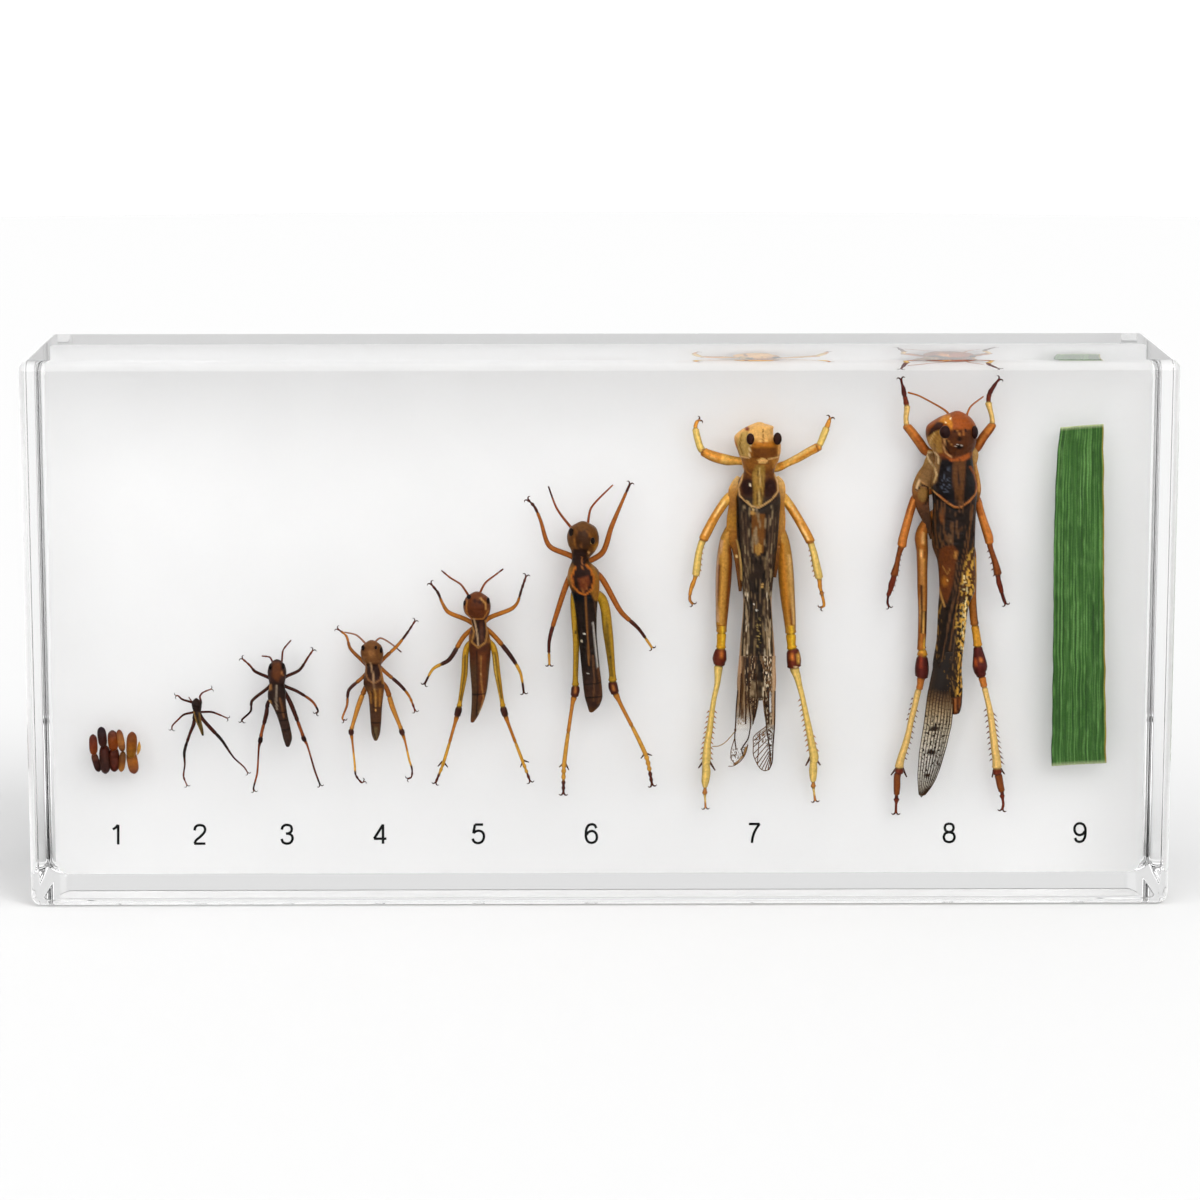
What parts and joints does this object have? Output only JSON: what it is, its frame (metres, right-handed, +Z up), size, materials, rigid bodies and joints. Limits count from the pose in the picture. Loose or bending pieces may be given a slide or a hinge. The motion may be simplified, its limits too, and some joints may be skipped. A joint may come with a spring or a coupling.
{
  "type": "insect in resin block",
  "caption": "Clear resin block standing on its long edge, with eggs, nymphs, adult locusts and a leaf sealed inside in front of a white backing plate.",
  "frame": {"origin": "centre of the block's bottom face, halfway through its depth", "axes": "+X to the right along the block's width, +Y from the front towards the white backing and the back, +Z up"},
  "size_m": [0.165, 0.036, 0.0794],
  "materials": {
    "resin": "polished clear casting resin",
    "backing": "matt white sheet",
    "egg": "dried egg shell, dark red-brown",
    "egg_chip": "thin amber shell",
    "nymph_dark": "dried dark cuticle, slightly glossy",
    "nymph_brown": "dried brown cuticle, slightly glossy",
    "nymph_amber": "dried amber cuticle with dark marks",
    "adult_tan": "dried tan cuticle with brown wings",
    "adult_brown": "dried dark brown cuticle with netted wings",
    "leaf": "dried green grass blade"
  },
  "bodies": {
    "root": {"resin_front": "resin", "resin_middle": "resin", "resin_back": "resin", "white_backing": "backing", "egg_01": "egg", "egg_02": "egg", "egg_03": "egg", "egg_04": "egg", "egg_05": "egg", "egg_06": "egg", "egg_07": "egg", "egg_08": "egg", "egg_09": "egg", "egg_10": "egg", "egg_shell_chip": "egg_chip", "nymph_instar_1": "nymph_dark", "nymph_instar_2": "nymph_dark", "nymph_instar_3": "nymph_brown", "nymph_instar_4": "nymph_amber", "nymph_instar_5": "nymph_amber", "adult_pale": "adult_tan", "adult_dark": "adult_brown", "leaf_blade": "leaf"}
  },
  "joints": []
}
